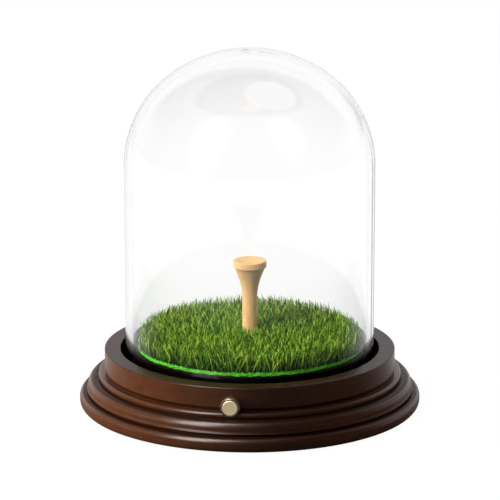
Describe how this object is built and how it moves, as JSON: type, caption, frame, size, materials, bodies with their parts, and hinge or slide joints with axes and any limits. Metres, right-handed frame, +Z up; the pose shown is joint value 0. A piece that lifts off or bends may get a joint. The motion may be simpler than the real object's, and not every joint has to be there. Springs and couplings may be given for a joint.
{
  "type": "golf ball display case",
  "caption": "Clear glass dome in a groove round a turned dark wood base, over a turf disc with a wooden tee for one golf ball, with a metal push button in front.",
  "frame": {"origin": "centre of the base's underside, where its axis meets the table", "axes": "+Z up along the base's axis, the push button faces -Y"},
  "size_m": [0.12, 0.12, 0.127],
  "materials": {
    "walnut": "turned hardwood, dark walnut-mahogany stain, satin lacquer",
    "felt": "dark green felt",
    "turf_backing": "green latex backing of the turf",
    "turf_grass": "artificial grass, short uneven blades in mixed greens",
    "tee_wood": "natural birch, thin clear lacquer",
    "dome_glass": "clear blown glass, polished",
    "seat_silicone": "smoked translucent silicone",
    "circuit_board": "black glass-fibre board",
    "lamp_lens": "pale yellow lamp lenses",
    "resistor_body": "black chip resistors",
    "bronze_bezel": "bronze-plated brass, satin",
    "champagne_cap": "champagne-plated brass, satin",
    "spring_steel": "spring steel",
    "spring_wire": "steel spring wire",
    "switch_plunger": "cream nylon",
    "switch_case": "black nylon",
    "switch_board": "black glass-fibre board",
    "bay_plastic": "black moulded plastic",
    "screw_steel": "zinc-plated steel",
    "battery_cap": "black moulded plastic",
    "cell_steel": "nickel-plated steel can",
    "contact_nickel": "nickel-plated spring strip",
    "wire_red": "red insulation",
    "wire_black": "black insulation"
  },
  "bodies": {
    "base": {"base_moulding": "walnut", "felt_pad": "felt", "turf_mat": "turf_backing", "turf_grass": "turf_grass", "tee": "tee_wood", "dome_seat_ring": "seat_silicone", "lamp_ring_board": "circuit_board", "lamps": "lamp_lens", "lamp_resistors": "resistor_body", "button_bezel": "bronze_bezel", "button_spring": "spring_wire", "switch_body": "switch_case", "switch_board": "switch_board", "bottom_plate": "bay_plastic", "plate_screws": "screw_steel", "coin_cell": "cell_steel", "contact_positive": "contact_nickel", "contact_negative": "contact_nickel", "wire_battery_to_switch": "wire_red", "wire_battery_to_lamps": "wire_black", "wire_switch_to_lamps": "wire_red"},
    "dome": {"glass_dome": "dome_glass"},
    "button": {"button_cap": "champagne_cap", "button_stem_clip": "spring_steel", "switch_plunger": "switch_plunger"},
    "battery_cap": {"battery_cap": "battery_cap"}
  },
  "joints": [
    {"name": "dome_lift", "type": "slide", "parent": "base", "child": "dome", "axis": [0, 0, 1], "range_m": [0, 0.105]},
    {"name": "button_press", "type": "slide", "parent": "base", "child": "button", "axis": [0, 1, 0], "range_m": [0, 0.0006], "stiffness_N_per_m": 400, "springref_m": -0.002, "deforming": ["button_spring"]},
    {"name": "battery_cap_turn", "type": "hinge", "parent": "base", "child": "battery_cap", "pos_m": [0, 0, 0.0021], "axis": [0, 0, -1], "range_deg": [0, 60]}
  ]
}
